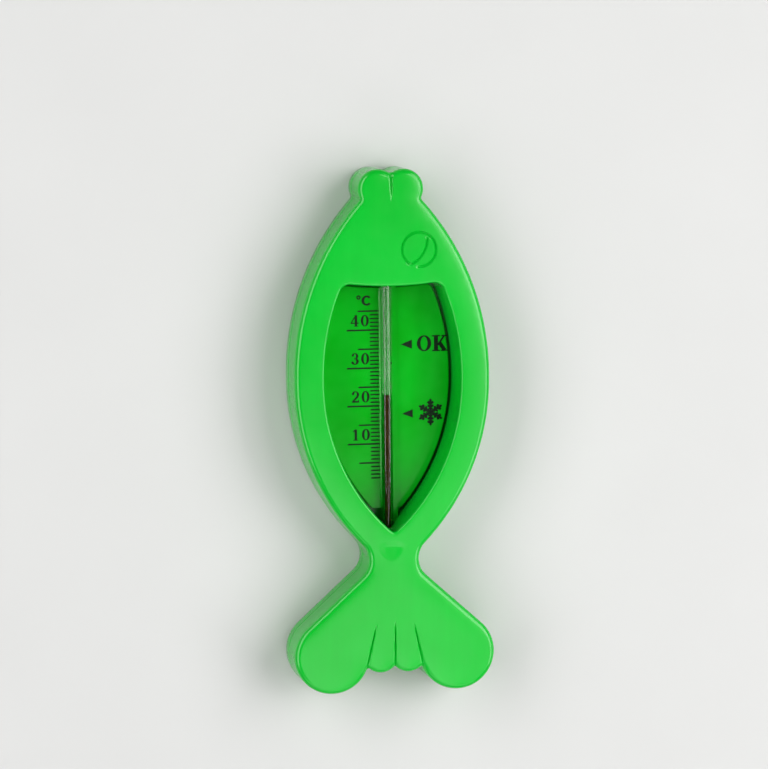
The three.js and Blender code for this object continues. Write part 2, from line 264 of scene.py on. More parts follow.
def straight(first, last):
    """Rows between the end of one run and the start of the next, where the normal stays the same."""
    span = np.linalg.norm(last[:2] - first[:2])
    shares = np.linspace(0, 1, max(2, math.ceil(span / STEP)))[:, None]
    return first + (last - first) * shares


def fish_outline():
    """The fish seen from the front, clockwise from the dip between its lips."""
    mouth = Vector((0, LIP.y + math.sqrt((LIP_RADIUS + MOUTH_FILLET) ** 2 - LIP.x ** 2)))
    notch = crossing(CHEEK, CHEEK_RADIUS + NOTCH_FILLET, LIP, LIP_RADIUS + NOTCH_FILLET, -1)
    neck = Vector((NECK_HALF_WIDTH + NECK_RADIUS, 0))
    neck.y = FLANK.y - math.sqrt((FLANK_RADIUS + NECK_RADIUS) ** 2 - (neck.x - FLANK.x) ** 2)
    lean = math.asin((NECK_RADIUS + LOBE_RADIUS) / (LOBE - neck).length)
    edge = bearing(neck, LOBE) + lean + math.pi / 2
    valley = crossing(LOBE, LOBE_RADIUS + VALLEY_FILLET, TOE, TOE_RADIUS + VALLEY_FILLET, 1)
    split = Vector((0, TOE.y - math.sqrt((TOE_RADIUS + VALLEY_FILLET) ** 2 - TOE.x ** 2)))
    neck_arc = arc(neck, NECK_RADIUS, bearing(neck, FLANK), edge + math.pi, hollow=True)
    lobe_upper = arc(LOBE, LOBE_RADIUS, edge, -math.pi / 4)
    lobe_lower = arc(LOBE, LOBE_RADIUS, -math.pi / 4, bearing(LOBE, valley))
    return mirrored(join([
        arc(mouth, MOUTH_FILLET, -math.pi / 2, bearing(mouth, LIP), hollow=True),
        arc(LIP, LIP_RADIUS, bearing(LIP, mouth), bearing(LIP, notch)),
        arc(notch, NOTCH_FILLET, bearing(notch, LIP), bearing(notch, CHEEK), hollow=True),
        arc(CHEEK, CHEEK_RADIUS, bearing(CHEEK, notch), 0),
        arc(FLANK, FLANK_RADIUS, 0, bearing(FLANK, neck)),
        neck_arc,
        straight(neck_arc[-1], lobe_upper[0]),
        lobe_upper,
        lobe_lower,
        arc(valley, VALLEY_FILLET, bearing(valley, LOBE), bearing(valley, TOE), hollow=True),
        arc(TOE, TOE_RADIUS, bearing(TOE, valley), bearing(TOE, split)),
        arc(split, VALLEY_FILLET, bearing(split, TOE), math.pi / 2, hollow=True),
    ]))


def window_outline():
    """The window at the face. Its normals point into the plastic round it."""
    cheek = CHEEK_RADIUS - RIM
    flank = FLANK_RADIUS - RIM
    top = Vector((0, WINDOW_TOP + WINDOW_TOP_RADIUS))
    corner = crossing(top, WINDOW_TOP_RADIUS + WINDOW_CORNER, CHEEK, cheek - WINDOW_CORNER, 1)
    tip = Vector((0, FLANK.y - math.sqrt((flank - WINDOW_TIP) ** 2 - FLANK.x ** 2)))
    return mirrored(join([
        arc(top, WINDOW_TOP_RADIUS, -math.pi / 2, bearing(top, corner), hollow=True),
        arc(corner, WINDOW_CORNER, bearing(corner, top), bearing(CHEEK, corner)),
        arc(CHEEK, cheek, bearing(CHEEK, corner), 0),
        arc(FLANK, flank, 0, bearing(FLANK, tip)),
        arc(tip, WINDOW_TIP, bearing(FLANK, tip), -math.pi / 2),
    ]))


FISH_OUTLINE = fish_outline()
WINDOW_OUTLINE = window_outline()


def level(outline, shift, height):
    """A ring of points at one height, shifted along the outline's normals."""
    flat = outline[:, :2] + outline[:, 2:] * shift
    return np.column_stack([flat, np.full(len(flat), float(height))])


# ---------------------------------------------------------------- relief of the face

def smooth(t):
    """0 to 1 with no kink at either end."""
    t = np.clip(t, 0, 1)
    return t * t * (3 - 2 * t)


def groove_depth(groove, x, y):
    """How deep a straight groove is at points of the face."""
    start, end = np.array(groove["start"], float), np.array(groove["end"], float)
    length = np.linalg.norm(end - start)
    run = (end - start) / length
    along = (x - start[0]) * run[0] + (y - start[1]) * run[1]
    across = np.abs((x - start[0]) * run[1] - (y - start[1]) * run[0])
    half_width = GROOVE_HALF_WIDTH * (0.45 + 0.55 * smooth(along / length))
    section = np.clip(1 - across / half_width, 0, 1) ** 1.6
    return groove["depth"] * section * smooth(along / GROOVE_FADE) * (along < length + 1)


def ring_depth(ring, x, y):
    """How deep an engraved part of a circle is at points of the face."""
    dx, dy = x - ring["centre"][0], y - ring["centre"][1]
    centre = (ring["start"] + ring["end"]) / 2
    half = (ring["end"] - ring["start"]) / 2
    turned = np.abs((np.arctan2(dy, dx) - centre + np.pi) % (2 * np.pi) - np.pi)
    off = np.abs(np.hypot(dx, dy) - ring["radius"])
    section = smooth(1 - off / EYE_HALF_WIDTH)
    return EYE_DEPTH * section * smooth((half - turned) * ring["radius"] / EYE_FADE)


def sink_depth(x, y):
    """The shallow sink over the bulb: an egg shape, broad and deepest at its top."""
    height = NECK_SINK["top"] - NECK_SINK["bottom"]
    share = np.clip((y - NECK_SINK["bottom"]) / height, 0, 1)
    half_width = NECK_SINK["half_width"] * share ** 0.5 * (1 - share ** 4) ** 0.5
    side = smooth((half_width - np.abs(x - NECK_SINK["x"])) / NECK_SINK["side_blur"] + 0.3)
    top = smooth((1 - share) * height / NECK_SINK["top_blur"])
    return NECK_SINK["slope"] * height * share * side * (share > 0) * top


def distance_to(outline, x, y):
    """How far points are from the nearest point of an outline."""
    x, y = np.ravel(x), np.ravel(y)
    nearest = np.empty(len(x))
    for i in range(0, len(x), 400):
        gaps = np.hypot(x[i:i + 400, None] - outline[:, 0], y[i:i + 400, None] - outline[:, 1])
        nearest[i:i + 400] = gaps.min(1)
    return nearest


def face_relief(x, y):
    """How far the face stands below its highest level, at points of the face."""
    x, y = np.ravel(x), np.ravel(y)
    down = CROWN * ((x / CHEEK_HALF_WIDTH) ** 2 + (y / HALF_LENGTH) ** 2) / 2
    near_edge = np.clip(1 - distance_to(FISH_OUTLINE, x, y) / ROLL_OFF["width"], 0, 1)
    down = down + ROLL_OFF["drop"] * near_edge ** 2
    for groove in [MOUTH_GROOVE, *TAIL_GROOVES]:
        down = down + groove_depth(groove, x, y)
    down = down + np.maximum(ring_depth(EYE, x, y), ring_depth(PUPIL, x, y))
    return down + sink_depth(x, y)


def groove_points(groove):
    """Points on and beside a straight groove, so that the mesh follows it."""
    start, end = np.array(groove["start"], float), np.array(groove["end"], float)
    length = np.linalg.norm(end - start)
    run = (end - start) / length
    side = np.array([-run[1], run[0]])
    rows = np.arange(-1, length + 1, GROOVE_PITCH)
    offsets = GROOVE_HALF_WIDTH * np.array([-1.5, -1, -0.7, -0.45, -0.22, 0, 0.22, 0.45, 0.7, 1, 1.5])
    return np.vstack([start + run * rows[:, None] + side * off for off in offsets])


def ring_points(ring):
    """Points on and beside an engraved circle."""
    turns = np.arange(0, 2 * np.pi, GROOVE_PITCH / ring["radius"])
    offsets = EYE_HALF_WIDTH * np.array([-1.6, -1, -0.66, -0.33, 0, 0.33, 0.66, 1, 1.6])
    circle = np.column_stack([np.cos(turns), np.sin(turns)])
    return np.vstack([np.array(ring["centre"]) + (ring["radius"] + off) * circle for off in offsets])


def sink_points():
    """A fine grid over the sink, so that the mesh follows its border."""
    reach = NECK_SINK["half_width"] + 1
    xs = np.arange(NECK_SINK["x"] - reach, NECK_SINK["x"] + reach, GROOVE_PITCH)
    ys = np.arange(NECK_SINK["bottom"] - 1, NECK_SINK["top"] + 1, GROOVE_PITCH)
    return np.array([(x, y) for y in ys for x in xs])


# ---------------------------------------------------------------- mesh making

def inside(points, loop):
    """Which points lie inside a closed loop."""
    x, y = points[:, 0][:, None], points[:, 1][:, None]
    ax, ay = loop[:, 0], loop[:, 1]
    bx, by = np.roll(ax, -1), np.roll(ay, -1)
    spans = (ay > y) != (by > y)
    with np.errstate(divide="ignore", invalid="ignore"):
        cross = ax + (y - ay) * (bx - ax) / (by - ay)
    return (spans & (x < cross)).sum(1) % 2 == 1


def apart(points, others, distance):
    """The points that stand further than a distance from all the others."""
    keep = np.ones(len(points), bool)
    for i in range(0, len(points), 500):
        block = points[i:i + 500]
        gaps = np.hypot(block[:, None, 0] - others[:, 0], block[:, None, 1] - others[:, 1])
        keep[i:i + 500] = gaps.min(1) > distance
    return points[keep]


def honeycomb(pitch):
    """Evenly spread points over the whole fish."""
    rows = np.arange(-HALF_LENGTH, HALF_LENGTH, pitch * math.sqrt(3) / 2)
    columns = np.arange(-TAIL_HALF_WIDTH, TAIL_HALF_WIDTH, pitch)
    return np.array([(x + (i % 2) * pitch / 2, y) for i, y in enumerate(rows) for x in columns])


class Skin:
    """The vertices and faces of one piece, gathered ring by ring."""

    def __init__(self):
        self.points = []
        self.faces = []

    def ring(self, points):
        """Adds points and returns their numbers."""
        first = len(self.points)
        self.points.extend(map(tuple, points))
        return list(range(first, len(self.points)))

    def bridge(self, a, b):
        """Quads between two closed rings with the same number of points."""
        for i in range(len(a)):
            j = (i + 1) % len(a)
            self.faces.append((a[i], a[j], b[j], b[i]))

    def chain(self, rings):
        """Adds rings one after another, bridged, and returns the numbers of the first and last."""
        numbers = [self.ring(r) for r in rings]
        for a, b in zip(numbers, numbers[1:]):
            self.bridge(a, b)
        return numbers[0], numbers[-1]

    def fill(self, outer, holes, pitch, height, extra=()):
        """Triangles over the area between a ring and the rings inside it."""
        loops = [np.array([self.points[i][:2] for i in ring]) for ring in [outer, *holes]]
        numbers = [i for ring in [outer, *holes] for i in ring]
        border = np.vstack(loops)
        special = np.vstack(extra) if len(extra) else np.empty((0, 2))
        if len(special):
            special = apart(special, border, GROOVE_PITCH / 2)
        spread = apart(honeycomb(pitch), border, pitch * CLEARANCE)
        if len(special):
            spread = apart(spread, special, pitch * CLEARANCE / 2)
        free = np.vstack([special, spread])
        within = inside(free, loops[0])
        for loop in loops[1:]:
            within &= ~inside(free, loop)
        free = free[within]
        edges, first = [], 0
        for loop in loops:
            count = len(loop)
            edges += [(first + i, first + (i + 1) % count) for i in range(count)]
            first += count
        flat = [Vector(p) for p in np.vstack([border, free])]
        found, _, triangles, origin, _, _ = delaunay_2d_cdt(flat, edges, [], 0, 1e-7, True)
        centres = np.array([np.mean([found[i] for i in t], axis=0) for t in triangles])
        good = inside(centres, loops[0])
        for loop in loops[1:]:
            good &= ~inside(centres, loop)
        place = {}
        for i, source in enumerate(origin):
            if source and source[0] < len(numbers):
                place[i] = numbers[source[0]]
        kept = [t for t, ok in zip(triangles, good) if ok]
        fresh = sorted({i for t in kept for i in t if i not in place})
        if fresh:
            at = np.array([found[i] for i in fresh])
            heights = np.broadcast_to(height(at[:, 0], at[:, 1]), len(fresh))
            place.update(zip(fresh, self.ring(np.column_stack([at, heights]))))
        self.faces.extend(tuple(place[i] for i in t) for t in kept)

    def mesh(self, name):
        """The gathered faces as a Blender mesh with its faces pointing out."""
        mesh = bpy.data.meshes.new(name)
        mesh.from_pydata([tuple(c * MM for c in p) for p in self.points], [], self.faces)
        work = bmesh.new()
        work.from_mesh(mesh)
        bmesh.ops.recalc_face_normals(work, faces=work.faces)
        work.to_mesh(mesh)
        work.free()
        return mesh

    def piece(self, name, material, body, slot, replaces=(), crease=35, cutter=None):
        """Makes the Blender object, riding on its body, less what the cutter takes away."""
        mesh = self.mesh(name)
        if cutter:
            mesh = cut(mesh, cutter)
        return shown(mesh, name, material, body, replaces, crease)


def cut(mesh, cutter):
    """A mesh less another mesh. Both have to be closed surfaces."""
    scene = bpy.context.scene
    objects = [bpy.data.objects.new("cut", m) for m in (mesh, cutter.mesh("cutter"))]
    for thing in objects:
        scene.collection.objects.link(thing)
    modifier = objects[0].modifiers.new("cut", "BOOLEAN")
    modifier.operation = "DIFFERENCE"
    modifier.solver = "EXACT"
    modifier.object = objects[1]
    graph = bpy.context.evaluated_depsgraph_get()
    result = bpy.data.meshes.new_from_object(objects[0].evaluated_get(graph))
    for thing in objects:
        bpy.data.objects.remove(thing)
    return result


def tube_channel():
    """The room that the shells leave for the tube: round above it and open downwards."""
    radius = TUBE_RADIUS + GAP
    arch = [(radius * math.cos(t), TUBE.z + radius * math.sin(t)) for t in np.linspace(0, math.pi, 33)]
    foot = PARTING - CHANNEL_BELOW
    section = arch + [(-radius, foot), (radius, foot)]
    skin = Skin()
    ends = skin.chain([[(x, y, z) for x, z in section] for y in (WELL_TOP, high("glass_stem").y)])
    for end in ends:
        skin.faces.append(tuple(end))
    return skin


def shown(mesh, name, material, body, replaces=(), crease=35):
    """Links a mesh as a piece that rides on a body and stands for CAD nodes."""
    mesh.polygons.foreach_set("use_smooth", [True] * len(mesh.polygons))
    mesh.set_sharp_from_angle(angle=math.radians(crease))
    mesh.materials.append(material)
    piece = bpy.data.objects.new(name, mesh)
    bpy.context.scene.collection.objects.link(piece)
    if replaces:
        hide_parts(*replaces)
    if body:
        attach(piece, body)
    return piece


def turned(name, profile, y, material, body, slot, replaces=(), crease=35, closed=False):
    """A solid of revolution about the tube's axis, from pairs of radius and distance along Y."""
    skin = Skin()
    angles = np.arange(SIDES) * 2 * math.pi / SIDES
    rings = []
    for radius, along in profile:
        if radius == 0:
            rings.append(skin.ring([(TUBE.x, y + along, TUBE.z)]))
            continue
        xs = TUBE.x + radius * np.sin(angles)
        zs = TUBE.z + radius * np.cos(angles)
        rings.append(skin.ring(np.column_stack([xs, np.full(SIDES, y + along), zs])))
    pairs = list(zip(rings, rings[1:] + ([rings[0]] if closed else [])))
    for a, b in pairs[:len(rings) if closed else len(rings) - 1]:
        if len(a) == len(b):
            skin.bridge(a, b)
            continue
        point, ring = (a, b) if len(a) == 1 else (b, a)
        for i in range(SIDES):
            skin.faces.append((point[0], ring[i], ring[(i + 1) % SIDES]))
    return skin.piece(name, material, body, slot, replaces, crease)


# ---------------------------------------------------------------- materials

class Graph:
    """A short way to write a material's nodes."""

    def __init__(self, name):
        self.material = bpy.data.materials.new(name)
        self.material.use_nodes = True
        self.nodes = self.material.node_tree.nodes
        self.links = self.material.node_tree.links
        self.shader = self.nodes["Principled BSDF"]
        self.place = self.nodes.new("ShaderNodeTexCoord").outputs["Object"]

    def link(self, source, target):
        """Joins two sockets."""
        self.links.new(source, target)

    def stretched(self, x, y, z):
        """The piece's coordinates, stretched along its axes."""
        mapping = self.nodes.new("ShaderNodeMapping")
        mapping.inputs["Scale"].default_value = (x, y, z)
        self.link(self.place, mapping.inputs["Vector"])
        return mapping.outputs["Vector"]

    def noise(self, size_mm, detail=3, roughness=0.5, place=None):
        """Noise whose blotches are about as wide as size_mm."""
        node = self.nodes.new("ShaderNodeTexNoise")
        node.inputs["Scale"].default_value = 1 / (size_mm * MM)
        node.inputs["Detail"].default_value = detail
        node.inputs["Roughness"].default_value = roughness
        self.link(place or self.place, node.inputs["Vector"])
        return node.outputs["Fac"]

    def between(self, source, from_low, from_high, to_low, to_high):
        """A value carried from one range to another."""
        node = self.nodes.new("ShaderNodeMapRange")
        for key, value in zip(("From Min", "From Max", "To Min", "To Max"),
                              (from_low, from_high, to_low, to_high)):
            node.inputs[key].default_value = value
        self.link(source, node.inputs["Value"])
        return node.outputs["Result"]

    def mixed(self, share, first, second):
        """A colour between two colours or colour outputs."""
        node = self.nodes.new("ShaderNodeMix")
        node.data_type = "RGBA"
        self.link(share, node.inputs["Factor"])
        for socket, value in ((node.inputs[6], first), (node.inputs[7], second)):
            if isinstance(value, tuple):
                socket.default_value = (*value, 1)
            else:
                self.link(value, socket)
        return node.outputs[2]

    def bump(self, height, depth_mm, below=None):
        """A bump of a real depth, on top of another if there is one."""
        node = self.nodes.new("ShaderNodeBump")
        node.inputs["Distance"].default_value = depth_mm * MM
        self.link(height, node.inputs["Height"])
        if below:
            self.link(below, node.inputs["Normal"])
        return node.outputs["Normal"]

    def set(self, **values):
        """Sets the shader's own sockets."""
        for key, value in values.items():
            self.shader.inputs[key.replace("_", " ")].default_value = value


def shell_plastic():
    """Glossy moulded plastic with faint flow marks, orange peel and handling scratches."""
    g = Graph("shell_plastic")
    blotch = g.between(g.noise(38, 2), 0.35, 0.65, 0, 1)
    flow = g.between(g.noise(3, 3, 0.6, g.stretched(1, 0.08, 1)), 0.3, 0.7, 0, 1)
    colour = g.mixed(blotch, (0.002, 0.46, 0.024), (0.004, 0.51, 0.032))
    streaked = g.nodes.new("ShaderNodeMix")
    streaked.data_type = "RGBA"
    streaked.blend_type = "MULTIPLY"
    streaked.inputs["Factor"].default_value = 0.04
    g.link(colour, streaked.inputs[6])
    g.link(flow, streaked.inputs[7])
    g.link(streaked.outputs[2], g.shader.inputs["Base Color"])
    scratch = g.between(g.noise(0.5, 2, 0.5, g.stretched(1, 0.03, 1)), 0.66, 0.74, 0, 1)
    rough = g.between(g.noise(6, 4), 0.3, 0.7, 0.16, 0.2)
    added = g.nodes.new("ShaderNodeMath")
    added.operation = "MULTIPLY_ADD"
    added.inputs[1].default_value = 0.03
    g.link(scratch, added.inputs[0])
    g.link(rough, added.inputs[2])
    g.link(added.outputs[0], g.shader.inputs["Roughness"])
    peel = g.bump(g.noise(2.2, 2), 0.012)
    g.link(g.bump(g.noise(0.25, 2), 0.003, peel), g.shader.inputs["Normal"])
    g.set(IOR=1.5, Subsurface_Weight=0.12, Subsurface_Scale=0.003,
          Subsurface_Radius=(0.4, 1.0, 0.5))
    return g.material


def plate_plastic():
    """The deeper green of the scale plate."""
    g = Graph("plate_plastic")
    blotch = g.between(g.noise(16, 2), 0.35, 0.65, 0, 1)
    colour = g.mixed(blotch, (0.001, 0.39, 0.006), (0.002, 0.45, 0.012))
    g.link(colour, g.shader.inputs["Base Color"])
    g.link(g.between(g.noise(4, 3), 0.3, 0.7, 0.1, 0.15), g.shader.inputs["Roughness"])
    g.link(g.bump(g.noise(5, 1), 0.01), g.shader.inputs["Normal"])
    g.set(IOR=1.5, Specular_IOR_Level=0.3)
    return g.material


def print_ink():
    """Near-black printed ink, a little uneven."""
    g = Graph("print_ink")
    uneven = g.between(g.noise(0.6, 3), 0.35, 0.65, 0, 1)
    colour = g.mixed(uneven, (0.001, 0.009, 0.002), (0.002, 0.022, 0.004))
    g.link(colour, g.shader.inputs["Base Color"])
    g.link(g.between(g.noise(0.3, 2), 0.3, 0.7, 0.35, 0.5), g.shader.inputs["Roughness"])
    g.link(g.bump(g.noise(0.2, 2), 0.004), g.shader.inputs["Normal"])
    g.set(Specular_IOR_Level=0.15)
    return g.material


def clear_glass():
    """Drawn glass, with the long faint waves that drawing leaves."""
    g = Graph("clear_glass")
    g.link(g.bump(g.noise(2, 1, 0.5, g.stretched(1, 0.05, 1)), 0.001), g.shader.inputs["Normal"])
    g.link(g.between(g.noise(5, 2), 0.3, 0.7, 0.03, 0.07), g.shader.inputs["Roughness"])
    g.set(Base_Color=(0.86, 0.90, 0.86, 1), IOR=1.5, Transmission_Weight=1.0, Specular_IOR_Level=0.2)
    return g.material


def dyed_spirit():
    """The brown-red liquid."""
    g = Graph("dyed_spirit")
    depth = g.between(g.noise(6, 2, 0.5, g.stretched(1, 0.15, 1)), 0.3, 0.7, 0, 1)
    colour = g.mixed(depth, (0.042, 0.021, 0.001), (0.065, 0.03, 0.002))
    g.link(colour, g.shader.inputs["Base Color"])
    g.link(g.between(g.noise(1.5, 2), 0.3, 0.7, 0.08, 0.16), g.shader.inputs["Roughness"])
    g.set(IOR=1.36, Specular_IOR_Level=0.05)
    return g.material


def soft_rubber():
    """Matt black rubber with a powdery bloom."""
    g = Graph("soft_rubber")
    bloom = g.between(g.noise(1.2, 4), 0.4, 0.7, 0, 1)
    g.link(g.mixed(bloom, (0.012, 0.012, 0.012), (0.04, 0.04, 0.038)), g.shader.inputs["Base Color"])
    g.link(g.between(g.noise(0.8, 3), 0.3, 0.7, 0.7, 0.88), g.shader.inputs["Roughness"])
    g.link(g.bump(g.noise(0.15, 3), 0.02), g.shader.inputs["Normal"])
    return g.material


def studio_paper():
    """The pale floor."""
    g = Graph("studio_paper")
    g.link(g.mixed(g.noise(60, 2), (0.60, 0.60, 0.59), (0.63, 0.63, 0.62)), g.shader.inputs["Base Color"])
    g.set(Roughness=0.9)
    return g.material


PLASTIC = shell_plastic()
PLATE = plate_plastic()
INK = print_ink()
GLASS = clear_glass()
SPIRIT = dyed_spirit()
RUBBER = soft_rubber()


# ---------------------------------------------------------------- shells

def rounding(radius, steps=EDGE_STEPS):
    """Pairs of inset and rise over a quarter-round, from the wall to the face."""
    turns = [math.pi / 2 * i / steps for i in range(steps + 1)]
    return [(radius * (1 - math.cos(t)), radius * math.sin(t)) for t in turns]


def edge_rings(outline, direction, radius, start=0):
    """Rings over the rounded edge of the face, each following the face's relief."""
    rings = []
    for inset, rise in rounding(radius):
        ring = level(outline, start + direction * inset, DEPTH - radius + rise)
        ring[:, 2] -= face_relief(ring[:, 0], ring[:, 1]) * rise / radius
        rings.append(ring)
    return rings


def front_shell():
    """The deep shell: outer wall, rounded edge, face, window edge and drafted window wall."""
    bottom = PARTING + GAP
    ceiling = DEPTH - WALL
    skin = Skin()
    heights = np.linspace(bottom + PARTING_CHAMFER, DEPTH - EDGE_RADIUS, 4)[:-1]
    outer_first, outer_last = skin.chain([
        level(FISH_OUTLINE, -WALL, ceiling),
        level(FISH_OUTLINE, -WALL, bottom),
        level(FISH_OUTLINE, -PARTING_CHAMFER, bottom),
        *[level(FISH_OUTLINE, 0, z) for z in heights],
        *edge_rings(FISH_OUTLINE, -1, EDGE_RADIUS),
    ])
    drafts = np.linspace(0, 1, 4)[1:]
    wall_top = DEPTH - WINDOW_EDGE
    lean = -WINDOW_DRAFT - WINDOW_WALL
    window_first, window_last = skin.chain([
        *edge_rings(WINDOW_OUTLINE, 1, WINDOW_EDGE, WINDOW_WALL)[::-1],
        *[level(WINDOW_OUTLINE, WINDOW_WALL + lean * t, wall_top + (bottom - wall_top) * t) for t in drafts],
        level(WINDOW_OUTLINE, WALL, bottom),
        level(WINDOW_OUTLINE, WALL, ceiling),
    ])
    marks = [groove_points(g) for g in [MOUTH_GROOVE, *TAIL_GROOVES]]
    marks += [ring_points(EYE), ring_points(PUPIL), sink_points()]
    skin.fill(outer_last, [window_first], FACE_PITCH, lambda x, y: DEPTH - face_relief(x, y), marks)
    skin.fill(outer_first, [window_last], PLAIN_PITCH, lambda x, y: ceiling)
    return skin.piece("front_shell_skin", PLASTIC, FISH, "shell", ["front_shell"], cutter=tube_channel())


def oblong(x, top, bottom, radius):
    """A loop drawn out along Y with round ends, clockwise, as rows of x, y and normal."""
    upper = arc((x, top), radius, math.pi, math.pi / 2)
    upper_right = arc((x, top), radius, math.pi / 2, 0)
    lower = arc((x, bottom), radius, 0, -math.pi / 2)
    lower_left = arc((x, bottom), radius, -math.pi / 2, -math.pi)
    return join([upper, upper_right, lower, lower_left])


def ports():
    """The loops of the slots that let water in to the bulb."""
    centre = (WELL_TOP + WELL_BOTTOM) / 2
    reach = (PORT_LENGTH - PORT_WIDTH) / 2
    xs = [(i - (PORTS - 1) / 2) * PORT_PITCH for i in range(PORTS)]
    return [oblong(x, centre + reach, centre - reach, PORT_WIDTH / 2) for x in xs]


def back_shell():
    """The shallow tray that closes the back, with its water slots."""
    skin = Skin()
    walls = [(inset, EDGE_RADIUS - rise) for inset, rise in rounding(EDGE_RADIUS)]
    outer_first, outer_last = skin.chain([
        level(FISH_OUTLINE, -WALL, WALL),
        level(FISH_OUTLINE, -WALL, PARTING),
        level(FISH_OUTLINE, -PARTING_CHAMFER, PARTING),
        level(FISH_OUTLINE, 0, PARTING - PARTING_CHAMFER),
        *[level(FISH_OUTLINE, -inset, z) for inset, z in walls],
    ])
    slots = [skin.chain([level(slot, 0, 0), level(slot, 0, WALL)]) for slot in ports()]
    skin.fill(outer_last, [s[0] for s in slots], PLAIN_PITCH, lambda x, y: 0)
    skin.fill(outer_first, [s[1] for s in slots], PLAIN_PITCH, lambda x, y: WALL)
    return skin.piece("back_shell_skin", PLASTIC, FISH, "shell", ["back_shell"])


def bulb_well():
    """The upright wall round the bulb, standing on the back shell."""
    skin = Skin()
    outer = oblong(0, WELL_TOP, WELL_BOTTOM, WELL_RADIUS)
    inner = oblong(0, WELL_TOP, WELL_BOTTOM, WELL_RADIUS - WELL_WALL)
    levels = (WALL + STANDOFF, DEPTH - WALL - STANDOFF)
    outside = skin.chain([level(outer, 0, z) for z in levels])
    inside_rings = skin.chain([level(inner, 0, z) for z in levels])
    for end in (0, 1):
        height = levels[end]
        skin.fill(outside[end], [inside_rings[end]], PLAIN_PITCH, lambda x, y, z=height: z)
    return skin.piece("bulb_well", PLASTIC, FISH, "shell", cutter=tube_channel())


def coaming():
    """The wall on the back shell that meets the window's skirt and rings the plate."""
    skin = Skin()
    levels = (WALL + STANDOFF, PARTING)
    outside = skin.chain([level(WINDOW_OUTLINE, WALL, z) for z in levels])
    inside_rings = skin.chain([level(WINDOW_OUTLINE, -WINDOW_DRAFT, z) for z in levels])
    for end in (0, 1):
        skin.fill(outside[end], [inside_rings[end]], PLAIN_PITCH, lambda x, y, z=levels[end]: z)
    return skin.piece("coaming", PLASTIC, FISH, "shell")


def box_skin(x1, x2, y1, y2, z1, z2):
    """A block from its limits."""
    skin = Skin()
    corners = [(x1, y1), (x2, y1), (x2, y2), (x1, y2)]
    for end in skin.chain([[(x, y, z) for x, y in corners] for z in (z1, z2)]):
        skin.faces.append(tuple(end))
    return skin


def rails():
    """The two rails that carry the plate."""
    top = low("scale_plate").z - GAP
    for side, name in ((-1, "rail_left"), (1, "rail_right")):
        x = side * RAIL["x"]
        half = RAIL["width"] / 2
        rail = box_skin(x - half, x + half, RAIL["from"], RAIL["to"], WALL + STANDOFF, top)
        rail.piece(name, PLASTIC, FISH, "shell")


# ---------------------------------------------------------------- scale plate and print

def ended(ring, y):
    """A ring cut off straight at a height y, which it crosses once on each side."""
    under = np.flatnonzero(ring[:, 1] < y)
    before, after = ring[:under[0]], ring[under[-1] + 1:]
    corners = []
    for above, below in ((before[-1], ring[under[0]]), (after[0], ring[under[-1]])):
        share = (above[1] - y) / (above[1] - below[1])
        corners.append(above + (below - above) * share)
    return np.vstack([before, corners, after])


def scale_plate():
    """The plate at the bottom of the window.

    Known fault: its surface isn't quite closed, so cutting the tube's groove fails and leaves the
    cutter's walls instead, as a strip that stands above the plate.
    """
    skin = Skin()
    shift = -WINDOW_DRAFT - PLATE_MARGIN
    bottom = low("scale_plate").z
    steps = [(shift, bottom), (shift, PLATE_TOP - PLATE_BEVEL), (shift - PLATE_BEVEL, PLATE_TOP)]
    first, last = skin.chain([ended(level(WINDOW_OUTLINE, off, z), PLATE_END) for off, z in steps])
    skin.fill(first, [], PLAIN_PITCH, lambda x, y: bottom)
    skin.fill(last, [], PLAIN_PITCH, lambda x, y: PLATE_TOP)
    groove = box_skin(TUBE_GROOVE["left"], TUBE_GROOVE["right"], PLATE_END - CUT_PAST,
                      WINDOW_TOP + CUT_PAST, PLATE_TOP - TUBE_GROOVE["depth"], PLATE_TOP + CUT_ABOVE)
    return skin.piece("scale_plate_skin", PLATE, FISH, "plate", ["scale_plate"], cutter=groove)


def bar(x1, y1, x2, y2):
    """An upright rectangle."""
    return [[(x1, y1), (x2, y1), (x2, y2), (x1, y2)]]


def stroke(x1, y1, x2, y2, thick, thick_end=None):
    """A straight stroke from one point to another, which may change its thickness."""
    run = Vector((x2 - x1, y2 - y1)).normalized()
    side = Vector((-run.y, run.x))
    a, b = thick / 2, (thick if thick_end is None else thick_end) / 2
    return [[(x1 - side.x * a, y1 - side.y * a), (x2 - side.x * b, y2 - side.y * b),
             (x2 + side.x * b, y2 + side.y * b), (x1 + side.x * a, y1 + side.y * a)]]


def bowl(x, y, outer, inner, start=0, end=360, steps=28):
    """Part of a ring between two ellipses, as quads from one angle to another, in degrees."""
    quads = []
    turns = np.radians(np.linspace(start, end, steps + 1))
    for a, b in zip(turns, turns[1:]):
        quads.append([(x + inner[0] * math.cos(a), y + inner[1] * math.sin(a)),
                      (x + outer[0] * math.cos(a), y + outer[1] * math.sin(a)),
                      (x + outer[0] * math.cos(b), y + outer[1] * math.sin(b)),
                      (x + inner[0] * math.cos(b), y + inner[1] * math.sin(b))])
    return quads


def dot(x, y, radius):
    """A round dot."""
    turns = np.linspace(0, 2 * math.pi, 17)[:-1]
    return [[(x + radius * math.cos(t), y + radius * math.sin(t)) for t in turns]]


